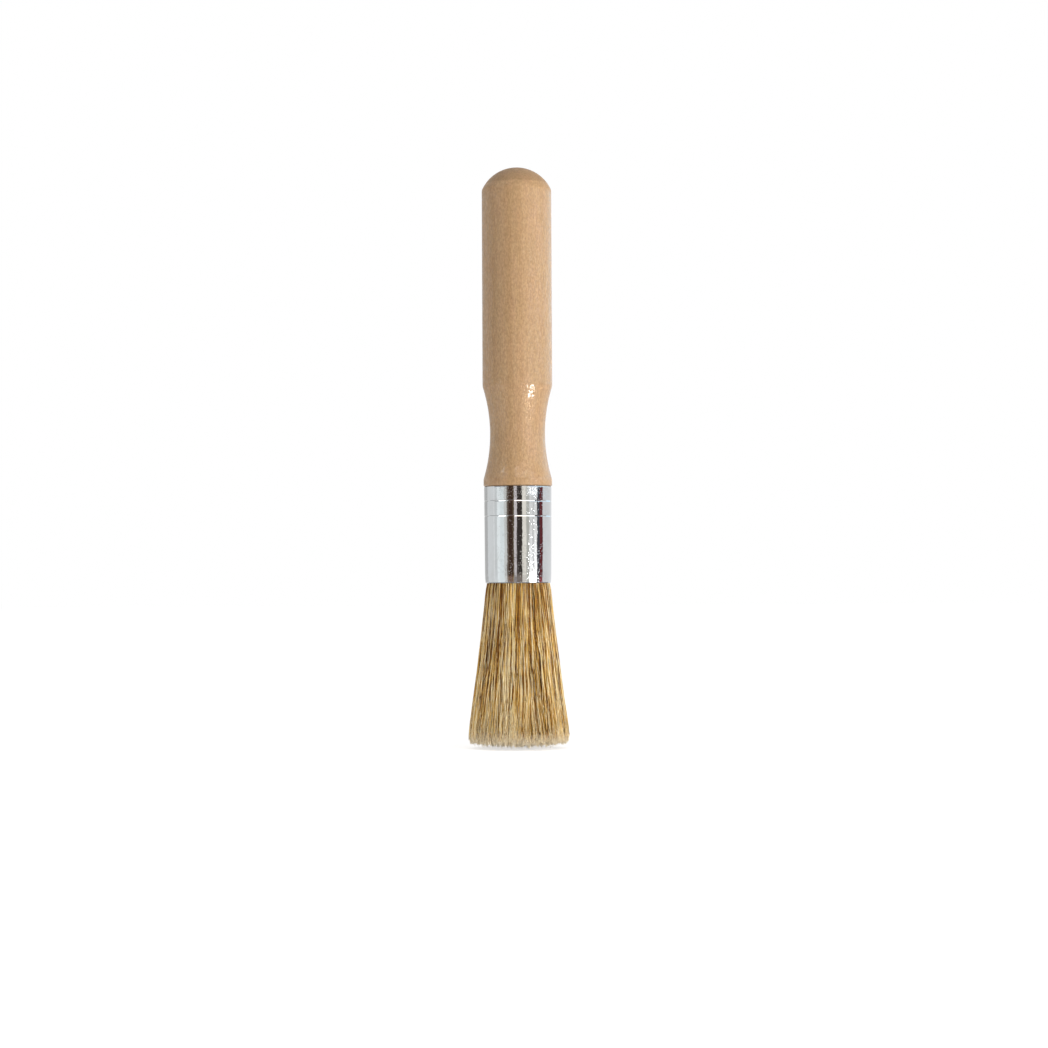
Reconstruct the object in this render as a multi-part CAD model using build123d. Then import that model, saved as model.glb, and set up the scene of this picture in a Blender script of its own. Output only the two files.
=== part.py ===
from build123d import *
import math
import os
import random

# Round pastry brush: a turned wooden handle, a thin metal ferrule rolled onto the
# handle's tenon, and a knot of natural bristle that is set in resin inside the ferrule.
# Millimetres.  The brush stands on its bristle tips at z = 0, +Z runs up the handle,
# and the origin is on the brush's axis, under the middle of the tips.

# ------------------------------------------------------------------ driving sizes
# lengths along the brush
BRISTLE_FREE = 42.5        # bristle that shows below the ferrule
FERRULE_LENGTH = 25.0
HANDLE_SHOWN = 82.5        # wood that shows above the ferrule

# handle, turned from one stick of wood
GRIP_DIAMETER = 18.0
DOME_HEIGHT = 5.9          # rise of the handle's spherical end
DOME_EDGE_ROUND = 2.0      # where the dome runs into the grip
WAIST_DIAMETER = 14.2      # thinnest place, where the fingertips sit
WAIST_LENGTH = 24.0
WAIST_EDGE_ROUND = 2.0     # soft corner between the grip and the waist
COLLAR_DIAMETER = 17.7     # swell of wood that meets the ferrule
COLLAR_LENGTH = 1.8
COLLAR_EDGE_CHAMFER = 0.3
TENON_LENGTH = 12.0
TENON_CHAMFER = 0.8
TENON_CLEARANCE = 0.05     # wood to metal, on the radius

# ferrule, a drawn tube that narrows a little towards the bristle
FERRULE_TOP_DIAMETER = 17.4
FERRULE_MOUTH_DIAMETER = 17.1
FERRULE_WALL = 0.3
LIP_FLARE = 0.15           # how far the top edge turns out, on the radius
LIP_LENGTH = 1.2
RING_DEPTHS = (3.7, 7.6)   # each rolled ring's middle, down from the ferrule's top
RING_WIDTH = 0.8
RING_DEPTH = 0.1
MOUTH_CURL = 0.1           # how far the mouth turns in, on the radius
MOUTH_CURL_LENGTH = 1.2

# resin that holds the bristle roots
RESIN_LENGTH = 8.0
RESIN_BASE = 2.5           # solid resin above the root ends
RESIN_BOND = 0.03          # glue line to the ferrule, on the radius
TENON_TO_RESIN = 0.3       # air left under the tenon

# bristle knot: a dense core with two rows of separate locks round it
KNOT_CLEARANCE = 0.06      # bristle to the ferrule's curled mouth, on the radius
KNOT_SEAT = 0.03           # bristle to resin pocket, on the radius
BELLY_RADIUS = 12.95       # widest place, just above the tips
BELLY_HEIGHT = 5.5
FAN_TRUMPET = 0.2          # 0 fans out in a straight cone, 1 as a parabola
OUTER_ROW_SHARE = 0.058    # radial depth of a row, as a share of the knot's radius
INNER_ROW_SHARE = 0.052
OUTER_LOCK_COUNT = 64
INNER_LOCK_COUNT = 52
LOCK_GAP = 0.05            # air between neighbouring locks, and between rows
LOCK_SWAY_SHARE = 0.16     # how far a lock's edge wanders, as a share of its width
LOCK_TIP_SHARE = 0.35      # a lock's width at its tip, as a share of its full width
LOCK_LENGTH_SPREAD = 0.9   # the longest lock less the shortest
TRIM_DROP = 1.7            # how much shorter the bristle is cut at the knot's edge
TRIM_POWER = 8             # how late that rounding starts, going out from the axis
CORE_TIP_ROUND = 2.4       # rounded edge of the core's flat trimmed end
SWAY_SEED = 11

# ------------------------------------------------------------------ worked-out places
FERRULE_MOUTH_Z = BRISTLE_FREE
FERRULE_TOP_Z = FERRULE_MOUTH_Z + FERRULE_LENGTH
HANDLE_TOP_Z = FERRULE_TOP_Z + HANDLE_SHOWN
TENON_END_Z = FERRULE_TOP_Z - TENON_LENGTH
RESIN_TOP_Z = TENON_END_Z - TENON_TO_RESIN
RESIN_END_Z = RESIN_TOP_Z - RESIN_LENGTH
ROOT_Z = RESIN_TOP_Z - RESIN_BASE
RING_HEIGHTS = [FERRULE_TOP_Z - depth for depth in RING_DEPTHS]
CORE_SHARE = 1 - OUTER_ROW_SHARE - INNER_ROW_SHARE


def ferrule_radius(z):
    """Outer radius of the ferrule's plain taper at height z, without lip, rings and curl."""
    up = (z - FERRULE_MOUTH_Z) / FERRULE_LENGTH
    mouth, top = FERRULE_MOUTH_DIAMETER / 2, FERRULE_TOP_DIAMETER / 2
    return mouth + (top - mouth) * up


def knot_radius(z):
    """Outer radius of the whole knot at height z: along the ferrule's taper, then a fan."""
    held = max(z, FERRULE_MOUTH_Z)
    held_radius = ferrule_radius(held) - FERRULE_WALL - MOUTH_CURL - KNOT_CLEARANCE
    fan_length = FERRULE_MOUTH_Z - BELLY_HEIGHT
    down = min((held - z) / fan_length, 1.0)
    share = (1 - FAN_TRUMPET) * down + FAN_TRUMPET * down**2
    return held_radius + (BELLY_RADIUS - held_radius) * share


def trim_height(radius):
    """How high above the middle tips a bristle ends, when its tip is at this radius."""
    return TRIM_DROP * (radius / BELLY_RADIUS) ** TRIM_POWER


def rolled_wall(inset):
    """Edges of a line down the ferrule's wall past both rolled rings, moved in by inset.

    It stops above the mouth's curl.  The same line makes the ferrule's outside, its
    inside and the tenon's grooves, so that all three follow the rings.
    """
    edges = []
    last = (ferrule_radius(FERRULE_TOP_Z - LIP_LENGTH) - inset, FERRULE_TOP_Z - LIP_LENGTH)
    for height in RING_HEIGHTS:
        above, below = height + RING_WIDTH / 2, height - RING_WIDTH / 2
        start = (ferrule_radius(above) - inset, above)
        bottom = (ferrule_radius(height) - inset - RING_DEPTH, height)
        end = (ferrule_radius(below) - inset, below)
        edges.append(Line(last, start))
        edges.append(ThreePointArc(start, bottom, end))
        last = end
    return edges, last


def revolved(edges):
    """Solid turned about the brush's axis from a closed outline in radius and height."""
    return revolve(Plane.XZ * make_face(edges), Axis.Z)


def corner(sketch, radius, height):
    """The outline's vertex that is nearest to this radius and height."""
    place = Vector(radius, height)
    return min(sketch.vertices(), key=lambda v: (Vector(v.X, v.Y) - place).length)


def handle():
    """Domed grip, waist and collar, with a grooved tenon that the ferrule is rolled onto."""
    grip, collar = GRIP_DIAMETER / 2, COLLAR_DIAMETER / 2
    dome_edge_z = HANDLE_TOP_Z - DOME_HEIGHT
    collar_z = FERRULE_TOP_Z + COLLAR_LENGTH
    waist_top_z = collar_z + WAIST_LENGTH
    waist_z = collar_z + WAIST_LENGTH / 2
    inset = FERRULE_WALL + TENON_CLEARANCE

    tenon, tenon_foot = rolled_wall(inset)
    tenon_top = ferrule_radius(FERRULE_TOP_Z) - inset
    tenon_end = ferrule_radius(TENON_END_Z) - inset
    outline = [
        TangentArc((0, HANDLE_TOP_Z), (grip, dome_edge_z), tangent=(1, 0)),
        Line((grip, dome_edge_z), (grip, waist_top_z)),
        ThreePointArc((grip, waist_top_z), (WAIST_DIAMETER / 2, waist_z), (collar, collar_z)),
        Line((collar, collar_z), (collar, FERRULE_TOP_Z)),
        Line((collar, FERRULE_TOP_Z), (tenon_top, FERRULE_TOP_Z)),
        Line((tenon_top, FERRULE_TOP_Z), tenon[0] @ 0),
        *tenon,
        Line(tenon_foot, (tenon_end, TENON_END_Z)),
        Line((tenon_end, TENON_END_Z), (0, TENON_END_Z)),
        Line((0, TENON_END_Z), (0, HANDLE_TOP_Z)),
    ]
    profile = make_face(outline)
    profile = fillet(corner(profile, grip, dome_edge_z), DOME_EDGE_ROUND)
    profile = fillet(corner(profile, grip, waist_top_z), WAIST_EDGE_ROUND)
    profile = fillet(corner(profile, collar, collar_z), WAIST_EDGE_ROUND)
    profile = chamfer(corner(profile, collar, FERRULE_TOP_Z), COLLAR_EDGE_CHAMFER)
    profile = chamfer(corner(profile, tenon_end, TENON_END_Z), TENON_CHAMFER)
    return revolve(Plane.XZ * profile, Axis.Z)


def ferrule_line(inset):
    """The whole wall line from top edge to mouth, moved in by inset."""
    lip_z = FERRULE_TOP_Z - LIP_LENGTH
    curl_z = FERRULE_MOUTH_Z + MOUTH_CURL_LENGTH
    wall, wall_foot = rolled_wall(inset)
    lip_start = (ferrule_radius(FERRULE_TOP_Z) - inset + LIP_FLARE, FERRULE_TOP_Z)
    curl_start = Vector(ferrule_radius(curl_z) - inset, curl_z)
    curl_end = Vector(FERRULE_MOUTH_DIAMETER / 2 - inset - MOUTH_CURL, FERRULE_MOUTH_Z)
    down_wall = curl_start - Vector(*wall_foot)
    up_wall = Vector(ferrule_radius(FERRULE_TOP_Z) - ferrule_radius(lip_z), LIP_LENGTH)
    return [
        TangentArc(wall[0] @ 0, lip_start, tangent=up_wall),
        *wall,
        Line(wall_foot, curl_start),
        TangentArc(curl_start, curl_end, tangent=down_wall),
    ]


def ferrule():
    """Thin tube with a flared lip, two rolled rings and a mouth that turns in."""
    outside, inside = ferrule_line(0), ferrule_line(FERRULE_WALL)
    top = Line(outside[0] @ 1, inside[0] @ 1)
    mouth = Line(outside[-1] @ 1, inside[-1] @ 1)
    return revolved([*outside, mouth, *inside, top])


def resin_plug():
    """Cast disc bonded in the ferrule, with a pocket that the knot's root fills."""
    inset = FERRULE_WALL + RESIN_BOND
    top = ferrule_radius(RESIN_TOP_Z) - inset
    end = ferrule_radius(RESIN_END_Z) - inset
    pocket_mouth = knot_radius(RESIN_END_Z) + KNOT_SEAT
    pocket_floor = knot_radius(ROOT_Z) + KNOT_SEAT
    return revolved(
        Polyline(
            (0, RESIN_TOP_Z),
            (top, RESIN_TOP_Z),
            (end, RESIN_END_Z),
            (pocket_mouth, RESIN_END_Z),
            (pocket_floor, ROOT_Z),
            (0, ROOT_Z),
            close=True,
        )
    )


def bristle_core():
    """Dense middle of the knot, from its root in the resin to its flat trimmed end."""
    fan_heights = [
        FERRULE_MOUTH_Z + (BELLY_HEIGHT - FERRULE_MOUTH_Z) * step / 3 for step in range(4)
    ]
    side = [(knot_radius(z) * CORE_SHARE, z) for z in fan_heights]
    root_radius, belly = knot_radius(ROOT_Z) * CORE_SHARE, side[-1][0]
    outline = [
        Line((0, ROOT_Z), (root_radius, ROOT_Z)),
        Line((root_radius, ROOT_Z), side[0]),
        Spline(*side),
        Line(side[-1], (belly, 0)),
        Line((belly, 0), (0, 0)),
        Line((0, 0), (0, ROOT_Z)),
    ]
    profile = fillet(corner(make_face(outline), belly, 0), CORE_TIP_ROUND)
    return revolve(Plane.XZ * profile, Axis.Z)


def lock_edges(count, levels, draw):
    """Angles of the lines between neighbouring locks at each level, in degrees.

    Neighbours share each line, so locks can wander and never cross.
    """
    pitch = 360 / count
    return [
        [pitch * (line + LOCK_SWAY_SHARE * draw.uniform(-1, 1)) for line in range(count)]
        for _ in range(levels)
    ]


def lock_section(z, outer, inner, start, end, narrowing):
    """One level of a lock: five corners, flat towards the axis and crowned outwards."""
    outer_radius = knot_radius(z) * outer
    inner_radius = knot_radius(z) * inner + LOCK_GAP
    depth = (outer_radius - inner_radius) * narrowing
    gap = math.degrees(LOCK_GAP / (2 * inner_radius))
    middle = (start + end) / 2
    half = ((end - start) / 2 - gap) * narrowing
    shoulder = inner_radius + depth * 0.65
    corners = [
        (inner_radius, middle - half * 0.9),
        (shoulder, middle - half),
        (inner_radius + depth, middle),
        (shoulder, middle + half),
        (inner_radius, middle + half * 0.9),
    ]
    points = [
        Vector(radius * math.cos(math.radians(a)), radius * math.sin(math.radians(a)), z)
        for radius, a in corners
    ]
    return Wire.make_polygon(points, close=True)


def lock_row(count, outer, inner, seed):
    """A ring of separate tapered locks between two shares of the knot's radius."""
    draw = random.Random(seed)
    tip_middle = BELLY_RADIUS * (outer + inner) / 2
    fan_middle_z = (FERRULE_MOUTH_Z + BELLY_HEIGHT) / 2
    narrowing = [1, 1, 1, 1, LOCK_TIP_SHARE]
    lines = lock_edges(count, len(narrowing), draw)
    locks = []
    for n in range(count):
        tip_z = trim_height(tip_middle) + LOCK_LENGTH_SPREAD * draw.random()
        heights = [ROOT_Z, FERRULE_MOUTH_Z, fan_middle_z, BELLY_HEIGHT, tip_z]
        sections = []
        for level, z in enumerate(heights):
            line = lines[0] if z >= FERRULE_MOUTH_Z else lines[level]
            end = line[n + 1] if n + 1 < count else line[0] + 360
            sections.append(lock_section(z, outer, inner, line[n], end, narrowing[level]))
        locks.append(Solid.make_loft(sections, ruled=True))
    return Compound(locks)


def main():
    """Writes each piece of the brush to its own STEP file."""
    outer_row_inside = 1 - OUTER_ROW_SHARE
    pieces = {
        "handle": handle(),
        "ferrule": ferrule(),
        "resin_plug": resin_plug(),
        "bristle_core": bristle_core(),
        "bristle_row_inner": lock_row(
            INNER_LOCK_COUNT, outer_row_inside, CORE_SHARE, SWAY_SEED
        ),
        "bristle_row_outer": lock_row(
            OUTER_LOCK_COUNT, 1, outer_row_inside, SWAY_SEED + 1
        ),
    }
    os.makedirs("parts", exist_ok=True)
    for name, shape in pieces.items():
        export_step(shape, f"parts/{name}.step")


main()
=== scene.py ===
import math

import bpy
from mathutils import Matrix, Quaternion, Vector


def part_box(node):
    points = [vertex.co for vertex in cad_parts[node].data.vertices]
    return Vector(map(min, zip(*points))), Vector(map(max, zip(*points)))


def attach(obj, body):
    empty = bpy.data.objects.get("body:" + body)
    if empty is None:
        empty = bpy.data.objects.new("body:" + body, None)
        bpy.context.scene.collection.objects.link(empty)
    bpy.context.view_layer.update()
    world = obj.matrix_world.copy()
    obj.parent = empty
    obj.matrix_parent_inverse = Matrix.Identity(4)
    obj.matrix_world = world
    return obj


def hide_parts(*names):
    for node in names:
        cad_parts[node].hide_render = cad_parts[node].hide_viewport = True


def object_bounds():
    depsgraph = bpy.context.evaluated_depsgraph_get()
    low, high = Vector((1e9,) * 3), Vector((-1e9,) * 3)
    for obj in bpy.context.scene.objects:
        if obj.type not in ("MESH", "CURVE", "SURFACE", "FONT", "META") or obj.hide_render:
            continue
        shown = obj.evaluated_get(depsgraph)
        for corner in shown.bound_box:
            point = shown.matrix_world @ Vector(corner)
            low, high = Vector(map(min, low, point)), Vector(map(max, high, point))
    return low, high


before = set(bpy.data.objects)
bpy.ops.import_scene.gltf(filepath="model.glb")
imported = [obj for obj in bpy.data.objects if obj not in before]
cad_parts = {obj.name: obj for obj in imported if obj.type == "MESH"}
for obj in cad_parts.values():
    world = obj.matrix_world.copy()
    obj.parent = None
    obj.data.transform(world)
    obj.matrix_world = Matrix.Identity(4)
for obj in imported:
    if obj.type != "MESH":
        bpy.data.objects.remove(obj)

cad_low, cad_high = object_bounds()
brush_height = cad_high.z
ferrule_low, ferrule_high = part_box("ferrule")
mouth_z, collar_z = ferrule_low[2], ferrule_high[2]


# ---------------------------------------------------------------- camera
# A long lens, level with the ferrule's mouth and aimed a little below the brush's middle.
# The brush leans a quarter of a degree in the frame, as it does when it is set down by hand.
eye = Vector((0.00155, -0.65, mouth_z))
aim = Vector((0.00155, 0, 0.385 * brush_height))
frame_width = brush_height / 0.5545      # what the frame spans at the brush
lean = math.radians(-0.27)

camera = bpy.data.objects.new("camera", bpy.data.cameras.new("camera"))
camera.data.sensor_width = 36
camera.data.lens = camera.data.sensor_width * (aim - eye).length / frame_width
camera.data.clip_start = 0.01
camera.location = eye
camera.rotation_mode = "QUATERNION"
camera.rotation_quaternion = (aim - eye).to_track_quat("-Z", "Y") @ Quaternion((0, 0, 1), lean)
bpy.context.scene.collection.objects.link(camera)
bpy.context.scene.camera = camera


# ---------------------------------------------------------------- studio
# A white floor under a white room, one broad soft lamp at the front right, a weak one low at the
# front left, and cards round the brush that only its metal and its lacquer reflect.
bpy.context.scene.view_settings.view_transform = "Standard"


def place(tree, kind, inputs=None, **settings):
    """Adds a node. Each of its inputs takes a plain value, or a socket to be linked to."""
    node = tree.nodes.new(kind)
    for name, value in settings.items():
        setattr(node, name, value)
    for key, value in (inputs or {}).items():
        if isinstance(value, bpy.types.NodeSocket):
            tree.links.new(value, node.inputs[key])
        else:
            node.inputs[key].default_value = value
    return node


def maths(tree, operation, *values):
    """Adds a Math node and gives its result."""
    return place(tree, "ShaderNodeMath", dict(enumerate(values)), operation=operation).outputs[0]


def ramp(tree, value, low, high, least=0.0, most=1.0):
    """Takes a value from between two limits to between two others, and holds it there."""
    inputs = {"Value": value, "From Min": low, "From Max": high, "To Min": least, "To Max": most}
    return place(tree, "ShaderNodeMapRange", inputs).outputs[0]


def here(tree):
    """The place that is shaded, in metres on its object: to the right, to the back, and up."""
    where = tree.nodes.new("ShaderNodeTexCoord").outputs["Object"]
    return place(tree, "ShaderNodeSeparateXYZ", {0: where}).outputs


def srgb(red, green, blue):
    """A colour as it is given, 0 to 255, in the linear form that shaders take."""
    parts = [value / 255 for value in (red, green, blue)]
    return [p / 12.92 if p <= 0.04045 else ((p + 0.055) / 1.055) ** 2.4 for p in parts] + [1]


def empty_material(name):
    """A new material with nothing but its output; gives its tree and that output too."""
    material = bpy.data.materials.new(name)
    material.use_nodes = True
    tree = material.node_tree
    tree.nodes.clear()
    return material, tree, tree.nodes.new("ShaderNodeOutputMaterial")


def mesh_object(name, points, faces, material):
    """A new object at the origin from points and faces."""
    mesh = bpy.data.meshes.new(name)
    mesh.from_pydata([tuple(p) for p in points], [], faces)
    mesh.materials.append(material)
    made = bpy.data.objects.new(name, mesh)
    bpy.context.scene.collection.objects.link(made)
    return made


def seen_or_mirrored(tree):
    """1 for what the eye, a mirror or a glass sees, 0 for what lights a dull surface."""
    rays = tree.nodes.new("ShaderNodeLightPath").outputs
    mirrored = maths(tree, "MAXIMUM", rays["Is Glossy Ray"], rays["Is Transmission Ray"])
    return maths(tree, "MAXIMUM", rays["Is Camera Ray"], mirrored)


room_light = 0.49
world = bpy.data.worlds.new("white room")
bpy.context.scene.world = world
world.use_nodes = True
tree = world.node_tree
room = tree.nodes["Background"]
tree.links.new(ramp(tree, seen_or_mirrored(tree), 0, 1, room_light, 1), room.inputs["Strength"])
room.inputs["Color"].default_value = (1, 1, 1, 1)

floor_size, floor_grey = 8.0, 0.85
floor_bounce, floor_glow = 0.22, 0.38     # light the floor sends back, and what only the eye sees
floor_paint, tree, out = empty_material("white floor")
dull = place(tree, "ShaderNodeBsdfDiffuse", {"Color": (floor_grey, floor_grey, floor_grey, 1)})
seen = tree.nodes.new("ShaderNodeLightPath").outputs["Is Camera Ray"]
glow = ramp(tree, seen, 0, 1, floor_bounce, floor_bounce + floor_glow)
shine = place(tree, "ShaderNodeEmission", {"Strength": glow})
both = place(tree, "ShaderNodeAddShader", {0: dull.outputs[0], 1: shine.outputs[0]})
tree.links.new(both.outputs[0], out.inputs["Surface"])
half = floor_size / 2
corners = [(-half, -half, 0), (half, -half, 0), (half, half, 0), (-half, half, 0)]
mesh_object("floor", corners, [(0, 1, 2, 3)], floor_paint)


def round_the_brush(angle, distance, height):
    """A place round the brush; the angle is in degrees, from the camera's side to the right."""
    turn = math.radians(angle)
    return Vector((distance * math.sin(turn), -distance * math.cos(turn), height))


# each lamp's name, side, power, and where it stands: its angle, distance and height
for name, size, energy, angle, distance, height in (
        ("soft lamp", 0.6, 9.8, 52, 0.9, 0.07), ("low fill", 0.04, 0.0105, -52, 0.06, 0.008)):
    lamp = bpy.data.objects.new(name, bpy.data.lights.new(name, "AREA"))
    lamp.data.shape = "SQUARE"
    lamp.data.size = size
    lamp.data.energy = energy
    lamp.location = round_the_brush(angle, distance, height)
    lamp.rotation_mode = "QUATERNION"
    lamp.rotation_quaternion = (Vector((0, 0, height)) - lamp.location).to_track_quat("-Z", "Y")
    lamp.visible_camera = False
    lamp.visible_glossy = False
    bpy.context.scene.collection.objects.link(lamp)

near, far = 0.10, 0.45        # where the cards begin on the floor, and where they stand up
bend, top = 0.30, 1.0         # where a card turns to its high part, and where it ends
lift = 0.0006                 # how high the floor parts lie above the floor
cards = [
    # name, from and to in degrees, colour, how much the floor part and the high part shine, and
    # how far up the card the shine of the floor part reaches
    ("back card", 180, 232, (0.62, 0.62, 0.62), 1.4, 1.6, 0.02),
    ("left card", -128, -92, (0.93, 0.95, 0.96), 1.0, 1.0, 0.02),
    ("left seam", -92, -88, (1.08, 1.10, 1.11), 1.0, 1.0, 0.02),
    ("left grey", -88, -76, (0.88, 0.91, 0.92), 1.1, 1.2, 0.02),
    ("window pane", -76, -64, (1.20, 1.27, 1.29), 1.0, 3.2, 0.02),
    ("window side", -64, -48, (1.07, 1.16, 1.18), 1.0, 3.2, 0.02),
    ("window frame", -48, -38, (0.86, 0.87, 0.85), 1.1, 1.0, 0.02),
    ("shelf edge", -38, -32, (0.19, 0.15, 0.12), 2.0, 0.8, 0.02),
    ("shelf", -32, -18, (0.068, 0.038, 0.027), 4.0, 2.5, 0.02),
    ("shelf side", -18, -13.5, (0.13, 0.095, 0.055), 3.0, 3.0, 0.02),
    ("door gap", -13.5, -4, (0.84, 0.78, 0.79), 0.5, 4.0, 0.02),
    ("black cloth", -4, 14, (0.055, 0.045, 0.040), 5.0, 60.0, 0.038),
    ("cream wall", 14, 28, (1.15, 1.10, 1.00), 0.8, 3.0, 0.02),
    ("stone wall", 28, 39, (0.66, 0.66, 0.61), 1.2, 5.0, 0.02),
    ("white wall", 39, 67, (1.00, 1.00, 1.00), 6.0, 3.2, 0.06),
    ("dark trim", 67, 79.5, (0.075, 0.075, 0.09), 2.0, 1.0, 0.02),
    ("plum cloth", 79.5, 94, (0.16, 0.036, 0.042), 2.5, 1.5, 0.02),
    ("right card", 94, 180, (0.95, 0.96, 0.98), 1.0, 1.0, 0.02),
]


def lit(tree, out, **inputs):
    """Makes a card's material nothing but light."""
    light = place(tree, "ShaderNodeEmission", inputs)
    tree.links.new(light.outputs[0], out.inputs["Surface"])


def only_mirrored(made):
    """Keeps a card out of everything but reflections."""
    made.visible_camera = False
    made.visible_diffuse = False
    made.visible_shadow = False


def card_round(name, first, last, levels, material):
    """A card bent round the brush; its levels are pairs of a distance and a height."""
    count = max(1, round((last - first) / 6))
    angles = [first + (last - first) * step / count for step in range(count + 1)]
    points = [round_the_brush(angle, *level) for angle in angles for level in levels]
    wide = len(levels)
    faces = []
    for column in range(count):
        for row in range(wide - 1):
            corner = column * wide + row
            faces.append((corner, corner + wide, corner + wide + 1, corner + 1))
    only_mirrored(mesh_object(name, points, faces, material))


for name, first, last, colour, low_share, high_share, climb in cards:
    paint, tree, out = empty_material(name)
    height = here(tree)[2]
    low_part = ramp(tree, height, 0.001, climb, low_share, 1)
    high_part = ramp(tree, height, bend - 0.02, bend + 0.02, 1, high_share)
    lit(tree, out, Color=(*colour, 1), Strength=maths(tree, "MULTIPLY", low_part, high_part))
    card_round(name, first, last, ((near, lift), (far, lift), (far, bend), (far, top)), paint)

# a dark ring on the floor round the brush that only reflections see: painted reflection of a dark stand
brush_room = 0.016            # the dark ring's hole, which the bristle has to itself
dark_ring_paint, tree, out = empty_material("mirrored dark ring")
lit(tree, out, Color=(0.30, 0.30, 0.30, 1))
card_round("mirrored dark ring", -180, 180, ((brush_room, lift), (near, lift)), dark_ring_paint)

# a small softbox close by at the right, brighter at its foot and a little dirty
softbox_far, softbox_low, softbox_high = 0.14, 0.041, 0.078
for name, first, last, low_light, high_light in (
        ("softbox left", 38, 48.5, 1.5, 0.98), ("softbox seam", 48.5, 56, 0.92, 0.90),
        ("softbox right", 56, 66.5, 1.75, 1.08)):
    paint, tree, out = empty_material(name)
    fall = ramp(tree, here(tree)[2], softbox_low + 0.003, softbox_high - 0.016, low_light, high_light)
    where = tree.nodes.new("ShaderNodeTexCoord").outputs["Object"]
    dirt = place(tree, "ShaderNodeMapping", {"Vector": where, "Scale": (130, 130, 800)}).outputs[0]
    dirt = place(tree, "ShaderNodeTexNoise", {"Vector": dirt, "Scale": 1.0, "Detail": 1.0}).outputs[0]
    lit(tree, out, Strength=maths(tree, "MULTIPLY", fall, ramp(tree, dirt, 0.35, 0.65, 0.8, 1.2)))
    card_round(name, first, last, ((softbox_far, softbox_low), (softbox_far, softbox_high)), paint)

# a bright sheet flat on the floor, dimmer away from the brush. It gives the handle's waist, the
# ferrule's mouth and its top edge their highlights.
sheet_near, sheet_far, sheet_lift = 0.13, 0.44, 0.0012
sheet_paint, tree, out = empty_material("bright sheet")
where = tree.nodes.new("ShaderNodeTexCoord").outputs["Object"]
away = place(tree, "ShaderNodeVectorMath", {0: where}, operation="LENGTH").outputs["Value"]
lit(tree, out, Strength=ramp(tree, away, 0.2, 0.45, 34, 7))
card_round("bright sheet", 44, 61, ((sheet_near, sheet_lift), (sheet_far, sheet_lift)), sheet_paint)

# in front of the strips, and so high up that only the wood mirrors them: a dim wall at the left,
# a white blind and pale sky at the right
sky_far, sky_low, sky_high = 0.40, 0.099, 0.218
for name, first, last, colour in (
        ("dim wall", -88, -36, (0.42, 0.43, 0.46, 1)),
        ("white blind", 38, 66, (0.9, 1.1, 1.35, 1)),
        ("pale sky", 66, 150, (1.1, 1.45, 1.7, 1))):
    paint, tree, out = empty_material(name)
    lit(tree, out, Color=colour)
    card_round(name, first, last, ((sky_far, sky_low), (sky_far, sky_high)), paint)


# ---------------------------------------------------------------- handle
# One stick of pale beech, turned and sanded, with a domed end, a straight grip and a waist for
# the fingertips. It is dipped in clear lacquer, which the end grain of the dome drinks in.
grip_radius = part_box("handle")[1][0]
dome_height = 0.0059
dome_edge = 0.0020
waist_radius = 0.0071
waist_length = 0.024
collar_radius = 0.00885
collar_length = 0.0018
crease = 0.00006             # softness of the turned corners
foot_in, foot_up = 0.00022, 0.0002        # the broken edge at the collar's foot
tenon_inset, tenon_taper = 0.0007, 0.0002
tenon_end_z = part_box("handle")[0][2]


def circle_through(a, b, c):
    """Centre height and centre radius of the circle through three points of an outline."""
    ax, ay, bx, by, cx, cy = (*a, *b, *c)
    d = 2 * (ax * (by - cy) + bx * (cy - ay) + cx * (ay - by))
    a2, b2, c2 = ax * ax + ay * ay, bx * bx + by * by, cx * cx + cy * cy
    x = (a2 * (by - cy) + b2 * (cy - ay) + c2 * (ay - by)) / d
    y = (a2 * (cx - bx) + b2 * (ax - cx) + c2 * (bx - ax)) / d
    return x, y


def soft_least(a, b, softness):
    """The smaller of two radii, with a small round where they meet."""
    least = min(a, b)
    return least - softness * math.log(math.exp((least - a) / softness) + math.exp((least - b) / softness))


def turned(name, outline, material, closed=False, turns=128):
    """A piece turned about the brush's axis from an outline of radii and heights."""
    points, rings = [], []
    for radius, height in outline:
        if radius < 1e-7:
            rings.append([len(points)] * turns)
            points.append((0, 0, height))
            continue
        rings.append(list(range(len(points), len(points) + turns)))
        for step in range(turns):
            angle = math.tau * step / turns
            points.append((radius * math.cos(angle), radius * math.sin(angle), height))
    if closed:
        rings.append(rings[0])
    faces = []
    for upper, lower in zip(rings, rings[1:]):
        for step in range(turns):
            after = (step + 1) % turns
            face = [upper[step], lower[step], lower[after], upper[after]]
            faces.append(tuple(dict.fromkeys(face)))
    made = mesh_object(name, points, faces, material)
    made.data.shade_smooth()
    made.data.set_sharp_from_angle(angle=math.radians(35))
    return made


def waist_line(z):
    """Radius of the handle below the dome's edge: grip, waist and collar in one smooth line."""
    foot = collar_z + collar_length
    middle = (waist_radius, foot + waist_length / 2)
    x, y = circle_through((grip_radius, foot + waist_length), middle, (collar_radius, foot))
    reach = x - waist_radius
    rise = reach * reach - (z - y) ** 2
    hollow = x - math.sqrt(rise) if rise > 0 else grip_radius * 2
    side = grip_radius if z > middle[1] else collar_radius
    return soft_least(side, hollow, crease)


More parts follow.
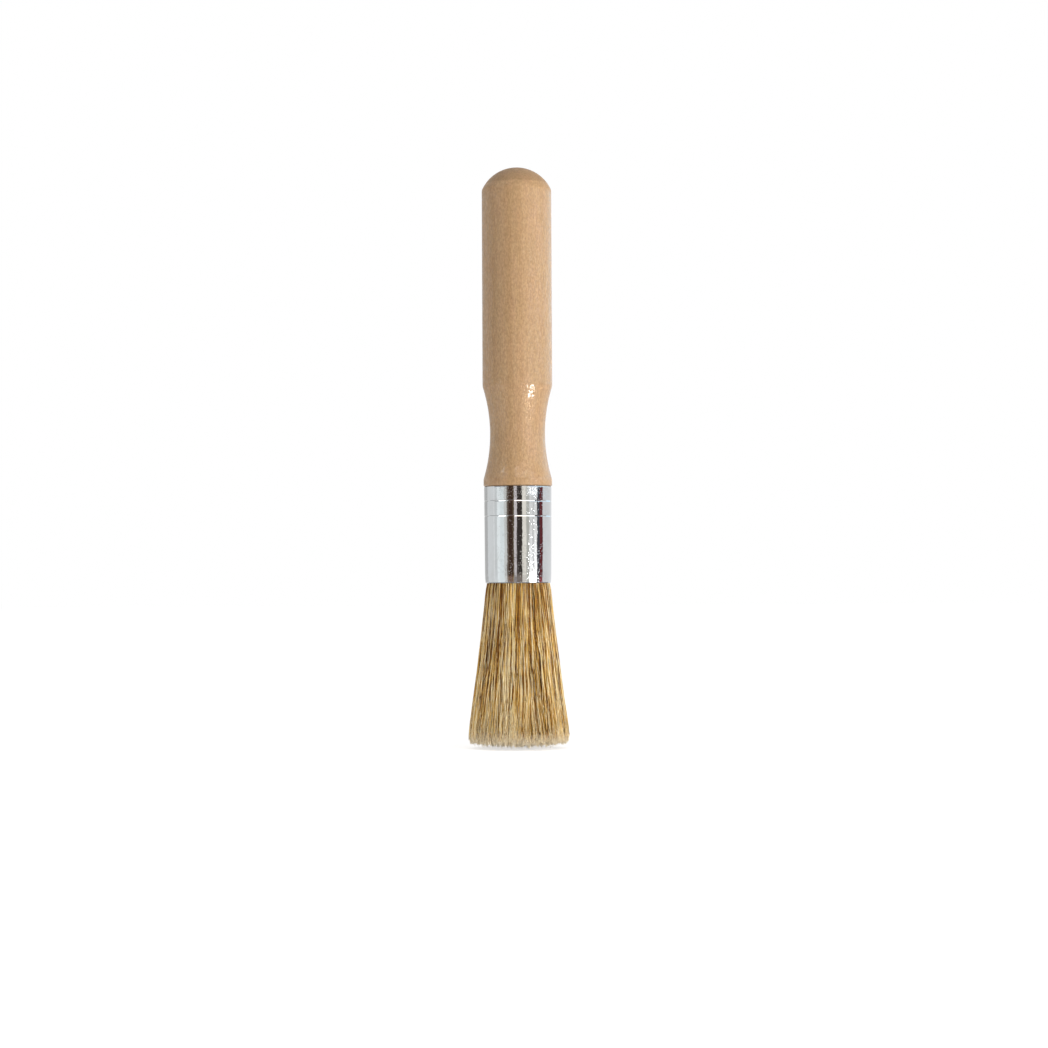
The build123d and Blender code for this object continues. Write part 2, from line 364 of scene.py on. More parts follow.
dome_radius = (grip_radius**2 + dome_height**2) / (2 * dome_height)
dome_centre = brush_height - dome_radius
lean_out = math.asin((grip_radius - dome_edge) / (dome_radius - dome_edge))
edge_centre = dome_centre + math.cos(lean_out) * (dome_radius - dome_edge)
outline = []
dome_steps, edge_steps, side_steps = 40, 12, 260
for step in range(dome_steps + 1):
    angle = lean_out * step / dome_steps
    outline.append((dome_radius * math.sin(angle), dome_centre + dome_radius * math.cos(angle)))
for step in range(1, edge_steps + 1):
    angle = lean_out + (math.pi / 2 - lean_out) * step / edge_steps
    outline.append((grip_radius - dome_edge + dome_edge * math.sin(angle),
                    edge_centre + dome_edge * math.cos(angle)))
for step in range(1, side_steps + 1):
    z = edge_centre + (collar_z + foot_up - edge_centre) * step / side_steps
    outline.append((waist_line(z), z))
outline.append((collar_radius - foot_in, collar_z))
tenon_radius = grip_radius - tenon_inset
outline += [(tenon_radius, collar_z), (tenon_radius - tenon_taper, tenon_end_z), (0, tenon_end_z)]

# ripple: the faint unevenness of sanded wood or of rolled sheet, as a bump height
ripple = bpy.data.node_groups.new("ripple", "ShaderNodeTree")
ripple.interface.new_socket("Vector", in_out="INPUT", socket_type="NodeSocketVector")
for name, start in (("Broad Scale", 1.0), ("Fine Scale", 8.0), ("Fine Share", 0.3)):
    ripple.interface.new_socket(name, in_out="INPUT", socket_type="NodeSocketFloat").default_value = start
ripple.interface.new_socket("Height", in_out="OUTPUT", socket_type="NodeSocketFloat")
given = ripple.nodes.new("NodeGroupInput").outputs
broad = place(ripple, "ShaderNodeTexNoise", {"Vector": given["Vector"], "Scale": given["Broad Scale"],
                                             "Detail": 1.0})
fine = place(ripple, "ShaderNodeTexNoise", {"Vector": given["Vector"], "Scale": given["Fine Scale"],
                                            "Detail": 2.0})
height = maths(ripple, "MULTIPLY_ADD", fine.outputs[0], given["Fine Share"], broad.outputs[0])
place(ripple, "NodeGroupOutput", {"Height": height})


def millimetres(tree, stretch=(1, 1, 1)):
    """Object coordinates in millimetres, each way divided by its stretch."""
    where = tree.nodes.new("ShaderNodeTexCoord").outputs["Object"]
    scale = [1000 / part for part in stretch]
    return place(tree, "ShaderNodeMapping", {"Vector": where, "Scale": scale}).outputs[0]


def noise(tree, stretch, detail):
    """Noise whose grains are about as large as the stretch, in millimetres each way."""
    inputs = {"Vector": millimetres(tree, stretch), "Scale": 1.0, "Detail": detail}
    return place(tree, "ShaderNodeTexNoise", inputs).outputs[0]


def blend(tree, how_much, first, second, kind="MIX"):
    """Mixes two colours."""
    node = place(tree, "ShaderNodeMix", {"Factor": how_much}, data_type="RGBA", blend_type=kind)
    for socket, value in ((node.inputs[6], first), (node.inputs[7], second)):
        if isinstance(value, bpy.types.NodeSocket):
            tree.links.new(value, socket)
        else:
            socket.default_value = value
    return node.outputs[2]


beech, tree, out = empty_material("lacquered beech")
# broad tone along the stick, then the year rings as flat bands, fibres, and small dark flecks
tone = noise(tree, (5, 5, 60), 2)
colour = blend(tree, ramp(tree, tone, 0.35, 0.65), srgb(193, 157, 114), srgb(200, 163, 121))
blush = noise(tree, (2.2, 2.2, 7), 3)
colour = blend(tree, ramp(tree, blush, 0.42, 0.72, 0, 0.45), colour, srgb(205, 160, 124))
year = place(tree, "ShaderNodeTexWave", {
    "Vector": millimetres(tree, (1.6, 3.4, 160)), "Scale": 0.30, "Distortion": 2.2, "Detail": 2.0},
    bands_direction="DIAGONAL").outputs[1]
colour = blend(tree, ramp(tree, year, 0.55, 1.0, 0, 0.16), colour, srgb(178, 136, 92))
fibre = noise(tree, (0.28, 0.28, 3), 2)
colour = blend(tree, ramp(tree, fibre, 0.42, 0.75, 0, 0.42), colour, srgb(172, 132, 90))
fleck = noise(tree, (0.22, 0.22, 1.1), 0)
colour = blend(tree, ramp(tree, fleck, 0.66, 0.76, 0, 0.32), colour, srgb(158, 114, 76))
stipple = noise(tree, (0.42, 0.42, 0.75), 1)
colour = blend(tree, ramp(tree, stipple, 0.38, 0.62), colour, (0.82, 0.81, 0.79, 1), "MULTIPLY")
# the dome's end grain is darker and duller: its darker colour is partly the end grain's own tone and partly
# painted shade on the top, which faces up away from the lamps
level = here(tree)[2]
end_grain_and_shade_z = brush_height - 0.0043
end_grain_and_shade = ramp(tree, level, end_grain_and_shade_z - 0.0002, end_grain_and_shade_z + 0.0002)
colour = blend(tree, end_grain_and_shade, colour, (0.80, 0.79, 0.77, 1), "MULTIPLY")
rough = ramp(tree, end_grain_and_shade, 0, 1, 0.42, 0.55)
# the wood was sanded along its fibres, and the lacquer over it set with a faint orange peel
sanded = place(tree, "ShaderNodeGroup", {
    "Vector": millimetres(tree), "Broad Scale": 0.9, "Fine Scale": 2.3, "Fine Share": 1.0}, node_tree=ripple)
grain_height = maths(tree, "MULTIPLY_ADD", fibre, -0.5, sanded.outputs[0])
bump = place(tree, "ShaderNodeBump", {"Strength": 1.0, "Distance": 0.00005, "Height": grain_height})
peel = noise(tree, (1, 1, 1.5), 0)
lacquer = place(tree, "ShaderNodeBump", {"Strength": 1.0, "Distance": 0.00009, "Height": peel})
# the lacquer sinks in where the pores are, and most of all round the dome
soaked = noise(tree, (0.5, 0.5, 0.62), 3)
colour = blend(tree, ramp(tree, soaked, 0.47, 0.52, 0.3, 0.0), colour, srgb(176, 140, 100))
gloss = maths(tree, "MULTIPLY", ramp(tree, soaked, 0.48, 0.52, 0.12, 0.85),
              ramp(tree, level, end_grain_and_shade_z - 0.0032, end_grain_and_shade_z - 0.0014, 0.9, 0.15))
wood = place(tree, "ShaderNodeBsdfPrincipled", {
    "Base Color": colour, "Roughness": rough, "Normal": bump.outputs[0], "Specular IOR Level": 0.2,
    "Coat Weight": gloss, "Coat Roughness": 0.05, "Coat Normal": lacquer.outputs[0]})
tree.links.new(wood.outputs[0], out.inputs["Surface"])

handle = turned("turned_handle", outline, beech)
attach(handle, "root")
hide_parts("handle")


# ---------------------------------------------------------------- ferrule
# A drawn tube of thin bright tinplate. Its top edge is rolled down onto the wood, two rings are
# rolled in below it to lock it on the tenon, and its mouth is curled in to hold the bristle.
ferrule_top_radius = 0.0087
ferrule_mouth_radius = 0.00855
wall = 0.0003
lip_drop, lip_length = 0.00012, 0.0003
ring_depths = (0.0039, 0.0078)
ring_depth = 0.00008
ring_step, ring_slope = 0.0001, 0.00032    # the ring's steep upper side, and where its slope ends
curl, curl_length = 0.00014, 0.0030
rolled_z = collar_z - 0.0022               # above here the roller has marked the top edge
curled_z = mouth_z + 0.014                 # below here the curling has marked the tube


def ferrule_line(z):
    """Outer radius of the ferrule at a height."""
    up = (z - mouth_z) / (collar_z - mouth_z)
    radius = ferrule_mouth_radius + (ferrule_top_radius - ferrule_mouth_radius) * up
    radius -= lip_drop * max(0, 1 - (collar_z - z) / lip_length) ** 2
    radius -= curl * max(0, 1 - (z - mouth_z) / curl_length) ** 2
    for depth in ring_depths:
        below = collar_z - depth - z + ring_slope / 2
        if 0 < below < ring_step:
            radius -= ring_depth * below / ring_step
        elif ring_step <= below < ring_slope:
            radius -= ring_depth * (1 - (below - ring_step) / (ring_slope - ring_step))
    return radius


side_steps, ring_steps = 125, 16
heights = [collar_z + (mouth_z - collar_z) * step / side_steps for step in range(1, side_steps)]
for depth in ring_depths:
    start = collar_z - depth + ring_slope / 2
    heights += [start - ring_slope * step / ring_steps for step in range(ring_steps + 1)]
heights.sort(reverse=True)
outside = [(ferrule_line(z), z) for z in heights]
edge = wall / 2
outline = outside + [(ferrule_line(mouth_z) - edge, mouth_z)]
inside = [(radius - wall, z) for radius, z in reversed(outside[4:-4:8])]
outline += inside + [(ferrule_line(collar_z) - edge, collar_z)]

tinplate, tree, out = empty_material("bright tinplate")
sheet = place(tree, "ShaderNodeGroup", {
    "Vector": millimetres(tree, (1, 1, 2.2)), "Broad Scale": 0.25, "Fine Scale": 2.6, "Fine Share": 0.11},
    node_tree=ripple)
# small pits, more of them near the mouth and where the top edge is rolled down
right, back, level = here(tree)
pits = place(tree, "ShaderNodeTexVoronoi", {"Vector": millimetres(tree), "Scale": 3.4}).outputs
chosen = place(tree, "ShaderNodeSeparateColor", {0: pits["Color"]}).outputs[0]
crowd = maths(tree, "MAXIMUM", ramp(tree, level, curled_z, mouth_z + 0.002, 0.04, 0.5),
              ramp(tree, level, rolled_z - 0.0014, rolled_z, 0, 0.6))
chosen = maths(tree, "LESS_THAN", chosen, crowd)
pit = maths(tree, "MULTIPLY", ramp(tree, pits["Distance"], 0.1, 0.4, 1.0, 0.0), chosen)
height = maths(tree, "MULTIPLY_ADD", pit, -0.3, sheet.outputs[0])
creased = ramp(tree, level, rolled_z - 0.0008, rolled_z, 0.00005, 0.00004)
bump = place(tree, "ShaderNodeBump", {"Strength": 1.0, "Distance": creased, "Height": height})
# handled metal: smears, and fine scratches round the tube
smear = noise(tree, (3, 3, 5), 4)
rub = noise(tree, (6, 6, 0.12), 2)
rough = maths(tree, "ADD", ramp(tree, smear, 0.35, 0.75, 0.045, 0.10), ramp(tree, rub, 0.55, 0.8, 0, 0.05))
# the mouth is burnished by the curling, and the roller has dulled a patch below the top edge
rough = maths(tree, "MULTIPLY", rough, ramp(tree, level, mouth_z, curled_z, 0.5, 1.0))
around = maths(tree, "ARCTAN2", right, maths(tree, "MULTIPLY", back, -1.0))
patch = maths(tree, "MULTIPLY", ramp(tree, around, 0.23, 0.27), ramp(tree, around, 0.64, 0.61))
patch = maths(tree, "MULTIPLY", patch, ramp(tree, level, rolled_z - 0.0010, rolled_z, 0, 0.15))
rough = maths(tree, "ADD", rough, patch)
colour = blend(tree, ramp(tree, smear, 0.4, 0.8), (0.615, 0.625, 0.63, 1), (0.56, 0.56, 0.555, 1))
metal = place(tree, "ShaderNodeBsdfPrincipled", {
    "Base Color": colour, "Metallic": 1.0, "Roughness": rough, "Normal": bump.outputs[0]})
tree.links.new(metal.outputs[0], out.inputs["Surface"])

ferrule = turned("rolled_ferrule", outline, tinplate, closed=True, turns=160)
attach(ferrule, "root")
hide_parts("ferrule")


# ---------------------------------------------------------------- resin
# The amber resin that the bristle roots are cast in. It is shut in the ferrule, between the
# tenon and the bristle, so the construction's own piece stays and only gets its material.
amber, tree, out = empty_material("amber resin")
cloud = noise(tree, (2, 2, 2), 3)
colour = blend(tree, ramp(tree, cloud, 0.35, 0.7), srgb(150, 106, 48), srgb(112, 74, 30))
cast = place(tree, "ShaderNodeBsdfPrincipled", {
    "Base Color": colour, "Roughness": ramp(tree, cloud, 0.3, 0.7, 0.2, 0.4)})
tree.links.new(cast.outputs[0], out.inputs["Surface"])
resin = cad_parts["resin_plug"]
resin.data.materials.clear()
resin.data.materials.append(amber)


# ---------------------------------------------------------------- bristle
# Some thousands of blond hog bristles, set root end up in the resin. They leave the mouth as
# one round bundle, cling together in locks, fan out, and are trimmed; each tip is split.
belly_radius, belly_z = 0.01295, 0.0055    # the widest place, just above the tips
root_depth = 0.004                         # how far the hairs start below the solid knot's top
root_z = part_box("bristle_core")[1][2] - root_depth
knot_clearance = 0.00006
bundle_radius = ferrule_mouth_radius - wall - curl - knot_clearance
fan_trumpet = 0.2                          # 0 fans out in a straight cone, 1 as a parabola
swell_out, swell_length = 0.00018, 0.0012  # how the bundle swells as the mouth lets go of it
trim_drop, trim_power = 0.00119, 8         # how much shorter the edge is cut, and how late that starts
length_spread, lowest_tip = 0.0023, 0.0001
bleach_and_glow_start, bleach_and_glow_full = 0.0047, 0.0018     # heights between which the ends turn pale
golden_angle = math.pi * (3 - math.sqrt(5))


def new_tree(name, kind, inputs, outputs):
    """A node group with named inputs, each with its first value, and named outputs."""
    made = bpy.data.node_groups.new(name, kind)
    for label, (socket, value) in inputs.items():
        one = made.interface.new_socket(label, in_out="INPUT", socket_type="NodeSocket" + socket)
        if value is not None:
            one.default_value = value
    for label, socket in outputs.items():
        made.interface.new_socket(label, in_out="OUTPUT", socket_type="NodeSocket" + socket)
    return made, made.nodes.new("NodeGroupInput").outputs


def chance(tree, hair, seed, low=0.0, high=1.0):
    """A random number that belongs to a hair."""
    inputs = {2: low, 3: high, 7: hair, 8: seed}
    return place(tree, "FunctionNodeRandomValue", inputs, data_type="FLOAT").outputs[1]


def vectors(tree, operation, first, second=(0, 0, 0), scale=None):
    """Adds a Vector Math node and gives its vector."""
    inputs = {0: first, 1: second}
    if scale is not None:
        inputs["Scale"] = scale
    return place(tree, "ShaderNodeVectorMath", inputs, operation=operation).outputs[0]


def pulled(tree, start, end, share):
    """The place that is this share of the way from start to end."""
    way = vectors(tree, "SCALE", vectors(tree, "SUBTRACT", end, start), scale=share)
    return vectors(tree, "ADD", start, way)


# the path of one bristle: where it is, this share of the way from its root to its tip
path, given = new_tree("bristle path", "GeometryNodeTree", {
    "Hair": ("Int", 0), "Along": ("Float", 0.0), "Hairs": ("Int", 100), "Seed": ("Int", 1),
    "Inner Share": ("Float", 0.0), "Outer Share": ("Float", 1.0), "Waywardness": ("Float", 1.0),
}, {"Position": "Vector", "Strand Shade": "Float"})
hair, along, seed = given["Hair"], given["Along"], given["Seed"]
count = maths(path, "DIVIDE", maths(path, "ADD", hair, 0.5), given["Hairs"])
inner = maths(path, "POWER", given["Inner Share"], 2.0)
ring = maths(path, "SUBTRACT", maths(path, "POWER", given["Outer Share"], 2.0), inner)
share = maths(path, "SQRT", maths(path, "MULTIPLY_ADD", count, ring, inner))
angle = maths(path, "MULTIPLY_ADD", hair, golden_angle, chance(path, hair, seed, -0.01, 0.01))
start = place(path, "ShaderNodeCombineXYZ", {
    0: maths(path, "MULTIPLY", share, maths(path, "COSINE", angle)),
    1: maths(path, "MULTIPLY", share, maths(path, "SINE", angle))}).outputs[0]
# each bristle leans to the middle of its strand, and each strand to the middle of its lock
strand = place(path, "ShaderNodeTexVoronoi", {"Vector": start, "Scale": 22.0},
               voronoi_dimensions="2D").outputs
lock = place(path, "ShaderNodeTexVoronoi", {"Vector": start, "Scale": 8.0},
             voronoi_dimensions="2D").outputs
to_strand = maths(path, "MULTIPLY", ramp(path, along, 0.15, 0.6, 0.45, 0.78),
                  ramp(path, along, 0.85, 1.0, 1.0, 0.15))
to_lock = maths(path, "MULTIPLY", ramp(path, along, 0.15, 0.75, 0.0, 0.2),
                ramp(path, along, 0.8, 1.0, 1.0, 0.4))
flat = pulled(path, start, strand["Position"], to_strand)
flat = pulled(path, flat, lock["Position"], to_lock)
# strands wander from side to side together, and each bristle a little by itself
wild = maths(path, "POWER", chance(path, hair, maths(path, "ADD", seed, 9)), 3.0)
wild = maths(path, "MULTIPLY_ADD", wild, 0.26, 0.05)
for source, pace, reach in ((strand["Position"], 2.0, 0.06), (start, 3.0, wild)):
    spot = vectors(path, "ADD", vectors(path, "SCALE", source, scale=9.0),
                   place(path, "ShaderNodeCombineXYZ", {2: maths(path, "MULTIPLY", along, pace)}).outputs[0])
    drift = place(path, "ShaderNodeTexNoise", {"Vector": spot, "Scale": 1.0, "Detail": 1.0}).outputs["Color"]
    drift = vectors(path, "SUBTRACT", drift, (0.5, 0.5, 0.5))
    swing = maths(path, "MULTIPLY", ramp(path, along, 0.1, 0.5, 0.3, 2.0), given["Waywardness"])
    swing = maths(path, "MULTIPLY", swing, reach)
    flat = vectors(path, "ADD", flat, vectors(path, "SCALE", drift, scale=swing))
# strands cross one another, some bristles cross more, and here and there a strand lies deep
shade = place(path, "ShaderNodeSeparateXYZ", {0: strand["Color"]}).outputs
turn = maths(path, "MULTIPLY_ADD", shade[1], 0.22, -0.11)
turn = maths(path, "MULTIPLY", maths(path, "ADD", turn, maths(path, "MULTIPLY", chance(
    path, hair, maths(path, "ADD", seed, 12), -1.0, 1.0), wild)), along)
flat = place(path, "ShaderNodeVectorRotate", {"Vector": flat, "Angle": turn},
             rotation_type="Z_AXIS").outputs[0]
sunk = maths(path, "LESS_THAN", shade[2], 0.08)
flat = vectors(path, "SCALE", flat, scale=maths(path, "MULTIPLY_ADD", sunk, -0.07, 1.0))
# what wanders out of the bundle is combed back to its surface
away = place(path, "ShaderNodeVectorMath", {0: flat}, operation="LENGTH").outputs["Value"]
out_share = maths(path, "MINIMUM", away, chance(path, hair, maths(path, "ADD", seed, 8), 0.975, 1.0))
# each one dives under its neighbours and comes up again
spot = place(path, "ShaderNodeCombineXYZ", {
    0: maths(path, "MULTIPLY", hair, 0.73), 1: maths(path, "MULTIPLY", along, 2.5), 2: seed}).outputs[0]
dive = place(path, "ShaderNodeTexNoise", {"Vector": spot, "Scale": 1.0, "Detail": 0.0}).outputs[0]
out_share = maths(path, "MULTIPLY", out_share, ramp(path, dive, 0.35, 0.65, 1.0, 0.98))
drawn_in = maths(path, "DIVIDE", out_share, maths(path, "MAXIMUM", away, 0.001))
combed = vectors(path, "SCALE", flat, scale=drawn_in)
spread = place(path, "ShaderNodeSeparateXYZ", {0: combed}).outputs
# trimmed a little shorter at the knot's edge; no two bristles are quite as long
short = chance(path, hair, maths(path, "ADD", seed, 7))
short = maths(path, "MULTIPLY", maths(path, "POWER", short, 0.4), length_spread)
tip_z = maths(path, "MULTIPLY_ADD", maths(path, "POWER", out_share, trim_power), trim_drop, short)
tip_z = maths(path, "ADD", tip_z, lowest_tip)
z = maths(path, "MULTIPLY_ADD", maths(path, "SUBTRACT", tip_z, root_z), along, root_z)
down = ramp(path, z, mouth_z, belly_z)
fan = maths(path, "MULTIPLY_ADD", maths(path, "POWER", down, 2.0), fan_trumpet,
            maths(path, "MULTIPLY", down, 1 - fan_trumpet))
swell = ramp(path, z, mouth_z, mouth_z - swell_length, 0, swell_out)
swell = maths(path, "MULTIPLY", swell, maths(path, "SUBTRACT", 1.0, down))
knot = maths(path, "MULTIPLY_ADD", fan, belly_radius - bundle_radius, bundle_radius)
knot = maths(path, "ADD", knot, swell)
position = place(path, "ShaderNodeCombineXYZ", {
    0: maths(path, "MULTIPLY", spread[0], knot),
    1: maths(path, "MULTIPLY", spread[1], knot), 2: z}).outputs[0]
place(path, "NodeGroupOutput", {"Position": position, "Strand Shade": shade[0]})

hog, tree, out = empty_material("blond bristle")
tone, reach = [place(tree, "ShaderNodeAttribute", attribute_name=name).outputs["Fac"]
               for name in ("tone", "along")]
# short lengths of each bristle are worn paler or stained darker
spot = place(tree, "ShaderNodeCombineXYZ", {
    0: maths(tree, "MULTIPLY", tone, 150.0), 1: maths(tree, "MULTIPLY", reach, 70.0)}).outputs[0]
worn = place(tree, "ShaderNodeTexNoise", {"Vector": spot, "Scale": 1.0, "Detail": 1.0}).outputs[0]
worn = maths(tree, "MULTIPLY_ADD", worn, 0.5, -0.25)
shades = place(tree, "ShaderNodeValToRGB", {"Fac": maths(tree, "ADD", tone, worn)})
stops = {0.0: (76, 42, 5), 0.22: (163, 107, 27), 0.45: (211, 160, 65), 0.75: (239, 205, 127),
         1.0: (250, 233, 190)}
for position in list(stops)[1:-1]:
    shades.color_ramp.elements.new(position)
for element, (position, colour) in zip(shades.color_ramp.elements, stops.items()):
    element.position = position
    element.color = srgb(*colour)
# and the last few millimetres are paler: partly bleached, partly painted light that stands for light shining
# through the thin ends
bleach_and_glow = maths(tree, "MULTIPLY_ADD", worn, -0.014, here(tree)[2])
pale = blend(tree, ramp(tree, bleach_and_glow, bleach_and_glow_start, bleach_and_glow_full), shades.outputs[0], srgb(255, 241, 212))
strand_bsdf = place(tree, "ShaderNodeBsdfPrincipled", {
    "Base Color": pale, "Roughness": ramp(tree, tone, 0, 1, 0.5, 0.38),
    "Specular IOR Level": 0.3})
tree.links.new(strand_bsdf.outputs[0], out.inputs["Surface"])

bristle_inputs = {
    "Hairs": ("Int", 100), "Stations": ("Int", 12), "Seed": ("Int", 1), "Inner Share": ("Float", 0.0),
    "Outer Share": ("Float", 1.0), "Waywardness": ("Float", 1.0), "Thickness": ("Float", 0.00009),
    "Splits": ("Int", 1), "Darkest": ("Float", 0.0), "Palest": ("Float", 1.0),
    "Material": ("Material", None),
}


def path_node(tree, given, hair, along):
    """Puts the bristle path in a tree with that tree's own inputs."""
    passed_on = ("Hairs", "Seed", "Inner Share", "Outer Share", "Waywardness")
    inputs = {"Hair": hair, "Along": along, **{name: given[name] for name in passed_on}}
    return place(tree, "GeometryNodeGroup", inputs, node_tree=path).outputs


def numbered(tree, given, splits):
    """Gives each point's strand number, hair number and share of the way along its strand."""
    index = tree.nodes.new("GeometryNodeInputIndex").outputs[0]
    strand = maths(tree, "DIVIDE", maths(tree, "ADD", index, 0.5), given["Stations"])
    strand = maths(tree, "FLOOR", strand)
    station = maths(tree, "SUBTRACT", index, maths(tree, "MULTIPLY", strand, given["Stations"]))
    along = maths(tree, "DIVIDE", station, maths(tree, "SUBTRACT", given["Stations"], 1.0))
    hair = maths(tree, "FLOOR", maths(tree, "DIVIDE", maths(tree, "ADD", strand, 0.5), splits))
    return strand, hair, along


def named(tree, geometry, name, value, kind="FLOAT", domain="POINT"):
    """Stores a value on the geometry under a name that the material reads."""
    inputs = {"Geometry": geometry, "Name": name, "Value": value}
    return place(tree, "GeometryNodeStoreNamedAttribute", inputs, data_type=kind, domain=domain).outputs[0]


def read_back(tree, name):
    """Reads a value that was stored under a name."""
    return place(tree, "GeometryNodeInputNamedAttribute", {"Name": name}, data_type="FLOAT").outputs[0]


def finish_hairs(tree, given, points, strand, along, tone, reach, thick):
    """Joins the points into hairs with a three-sided section, and names what the material needs."""
    radius = read_back(tree, "thick")
    points = named(tree, points, "thick", thick)
    points = named(tree, points, "tone", tone)
    points = named(tree, points, "along", reach)
    curves = place(tree, "GeometryNodePointsToCurves", {"Points": points, "Curve Group ID": strand,
                                                        "Weight": along}).outputs[0]
    section = place(tree, "GeometryNodeCurvePrimitiveCircle", {"Resolution": 3, "Radius": 1.0}).outputs[0]
    corner = tree.nodes.new("GeometryNodeInputIndex").outputs[0]
    section = named(tree, section, "around", maths(tree, "DIVIDE", corner, 3.0))
    skin = place(tree, "GeometryNodeCurveToMesh", {"Curve": curves, "Profile Curve": section,
                                                   "Scale": radius, "Fill Caps": True}).outputs[0]
    # on the chart for baking, a hair's place across is its tone, and its place up is how far along it is
    across = maths(tree, "MULTIPLY_ADD", read_back(tree, "tone"), 0.98, 0.005)
    chart = place(tree, "ShaderNodeCombineXYZ", {
        0: maths(tree, "MULTIPLY_ADD", read_back(tree, "around"), 0.004, across),
        1: maths(tree, "MULTIPLY_ADD", read_back(tree, "along"), 0.8, 0.01)}).outputs[0]
    skin = named(tree, skin, "OFBake", chart, "FLOAT2", "CORNER")
    skin = place(tree, "GeometryNodeSetShadeSmooth", {"Geometry": skin}).outputs[0]
    skin = place(tree, "GeometryNodeRealizeInstances", {"Geometry": skin}).outputs[0]
    skin = place(tree, "GeometryNodeSetMaterial", {"Geometry": skin, "Material": given["Material"]})
    place(tree, "NodeGroupOutput", {"Geometry": skin.outputs[0]})


def hair_tone(tree, given, hair, run, along):
    """From dark to pale: partly a hair's own, partly its strand's, and paler towards the tip."""
    own = chance(tree, hair, maths(tree, "ADD", given["Seed"], 3))
    spot = place(tree, "ShaderNodeCombineXYZ", {0: maths(tree, "MULTIPLY", hair, 0.37),
                                                1: maths(tree, "MULTIPLY", along, 12.0)}).outputs[0]
    mottle = place(tree, "ShaderNodeTexNoise", {"Vector": spot, "Scale": 1.0, "Detail": 1.0}).outputs[0]
    shared = maths(tree, "MULTIPLY_ADD", own, 0.97, maths(tree, "MULTIPLY", run["Strand Shade"], 0.03))
    shared = maths(tree, "ADD", shared, ramp(tree, along, 0.2, 0.9, -0.12, 0.17))
    mixed = maths(tree, "ADD", shared, maths(tree, "MULTIPLY_ADD", mottle, 1.0, -0.5))
    # a shell's darkest and palest bound the tone; the deeper shells' darker bounds are painted shade
    return ramp(tree, mixed, 0.27, 0.73, given["Darkest"], given["Palest"])


# whole bristles, from the resin to the trimmed end
whole, given = new_tree("whole bristles", "GeometryNodeTree", bristle_inputs, {"Geometry": "Geometry"})
strand, hair, along = numbered(whole, given, 1.0)
run = path_node(whole, given, hair, along)
count = maths(whole, "MULTIPLY", given["Hairs"], given["Stations"])
points = place(whole, "GeometryNodePoints", {"Count": count, "Position": run["Position"]}).outputs[0]
stout = chance(whole, hair, maths(whole, "ADD", given["Seed"], 5), 0.75, 1.25)
taper = ramp(whole, along, 0.7, 1.0, 1.0, 0.5)
strand_no = place(whole, "FunctionNodeFloatToInt", {0: strand}).outputs[0]
thick = maths(whole, "MULTIPLY", maths(whole, "MULTIPLY", stout, taper), given["Thickness"])
finish_hairs(whole, given, points, strand_no, along, hair_tone(whole, given, hair, run, along), along, thick)

# split tips: each bristle's end parts into finer hairs, which spread and stay off the floor
tip_spread, off_floor = 0.00036, 0.00006
split, given = new_tree("split tips", "GeometryNodeTree", bristle_inputs, {"Geometry": "Geometry"})
strand, hair, along = numbered(split, given, given["Splits"])
reach = ramp(split, along, 0.0, 1.0, 0.955, 1.0)
run = path_node(split, given, hair, reach)
strand_no = place(split, "FunctionNodeFloatToInt", {0: strand}).outputs[0]
aside = place(split, "ShaderNodeCombineXYZ", {
    0: chance(split, strand_no, 21, -1.0, 1.0), 1: chance(split, strand_no, 22, -1.0, 1.0),
    2: chance(split, strand_no, 23, -0.2, 1.6)}).outputs[0]
opened = maths(split, "MULTIPLY", maths(split, "POWER", along, 1.6), tip_spread)
aside = vectors(split, "SCALE", aside, scale=opened)
spot = vectors(split, "MAXIMUM", vectors(split, "ADD", run["Position"], aside), (-1, -1, off_floor))
count = maths(split, "MULTIPLY", maths(split, "MULTIPLY", given["Hairs"], given["Splits"]), given["Stations"])
points = place(split, "GeometryNodePoints", {"Count": count, "Position": spot}).outputs[0]
thick = maths(split, "MULTIPLY", ramp(split, along, 0.0, 1.0, 0.58, 0.32), given["Thickness"])
finish_hairs(split, given, points, strand_no, along, hair_tone(split, given, hair, run, reach), reach, thick)


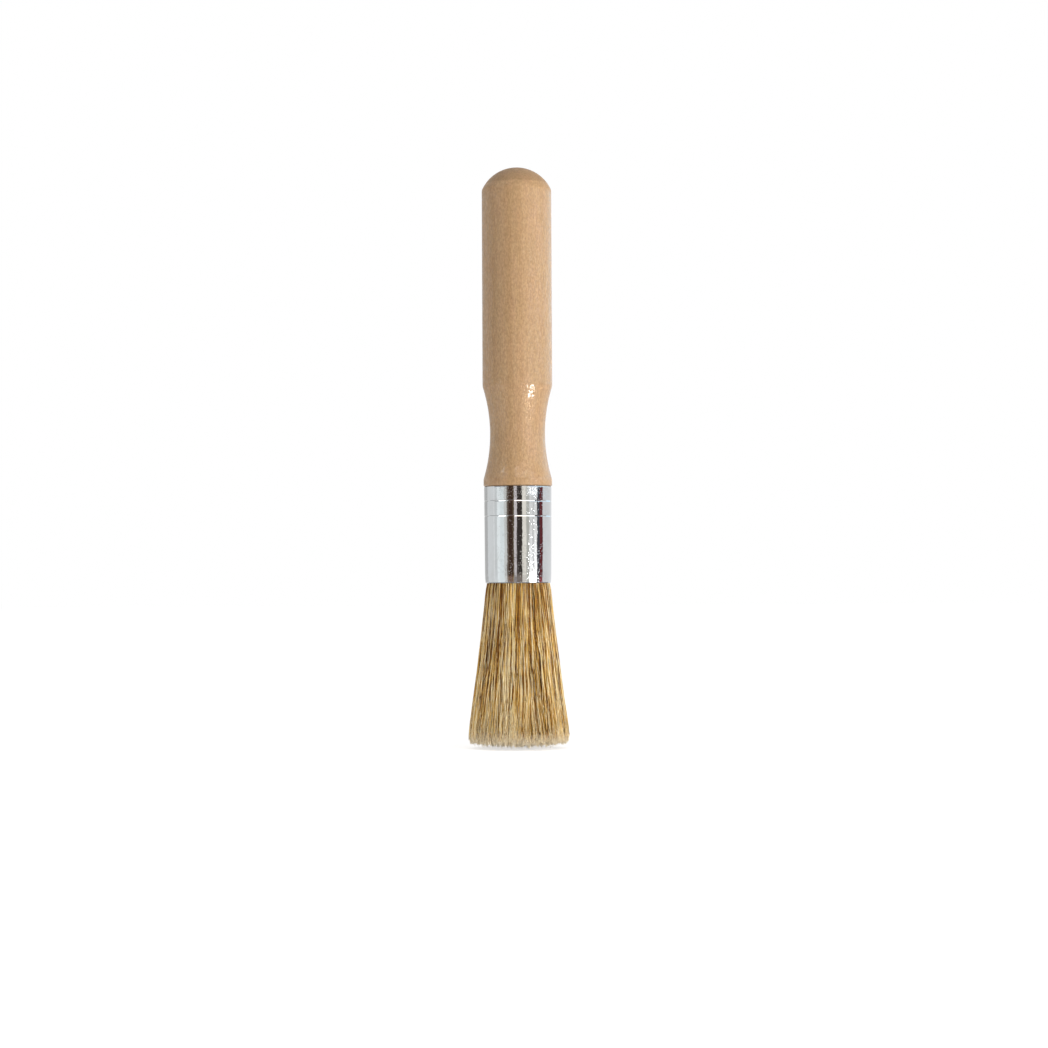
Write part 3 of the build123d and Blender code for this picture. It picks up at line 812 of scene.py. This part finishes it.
def grow(name, tree, **values):
    """Runs a tree with these inputs on a new object and keeps the result as a plain mesh."""
    carrier = bpy.data.objects.new(name + "_carrier", bpy.data.meshes.new(name))
    bpy.context.scene.collection.objects.link(carrier)
    growth = carrier.modifiers.new("growth", "NODES")
    growth.node_group = tree
    items = tree.interface.items_tree
    sockets = {item.name: item.identifier for item in items if item.in_out == "INPUT"}
    for label, value in {**values, "Material": hog}.items():
        growth[sockets[label.replace("_", " ")]] = value
    ready = carrier.evaluated_get(bpy.context.evaluated_depsgraph_get())
    mesh = bpy.data.meshes.new_from_object(ready)
    mesh.name = name
    bpy.data.objects.remove(carrier)
    made = bpy.data.objects.new(name, mesh)
    bpy.context.scene.collection.objects.link(made)
    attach(made, "root")
    return made


shells = {
    # name: hairs, stations, inner share, outer share, thickness, seed, darkest, palest; the deeper shells'
    # darker tones are painted shade deep in the bundle
    "bristle_inside": (1500, 8, 0.0, 0.62, 0.00013, 31, 0.0, 0.3),
    "bristle_middle": (1900, 12, 0.60, 0.88, 0.00010, 32, 0.1, 0.6),
    "bristle_outside": (1850, 16, 0.86, 0.965, 0.0001, 33, 0.05, 0.9),
    "bristle_surface": (1300, 24, 0.955, 1.0, 0.00009, 35, 0.05, 0.95),
    "bristle_skin": (1300, 24, 0.97, 1.0, 0.00008, 36, 0.1, 0.95),
}
for name, (hairs, stations, inner, outer, thickness, seed, darkest_tone_and_shade, palest_tone_and_shade) in shells.items():
    shared = dict(Hairs=hairs, Seed=seed, Inner_Share=inner, Outer_Share=outer, Thickness=thickness,
                  Darkest=darkest_tone_and_shade, Palest=palest_tone_and_shade)
    shell = grow(name, whole, Stations=stations, **shared)
    grow(name.replace("bristle", "tips"), split, Stations=4, Splits=3, **shared)
    if name == "bristle_outside":
        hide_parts("bristle_core", "bristle_row_inner", "bristle_row_outer")

# a few bristles that no lock holds
grow("stray_bristles", whole, Hairs=90, Stations=18, Seed=44, Inner_Share=0.95, Outer_Share=1.0,
     Waywardness=1.8, Thickness=0.00011, Darkest=0.6)
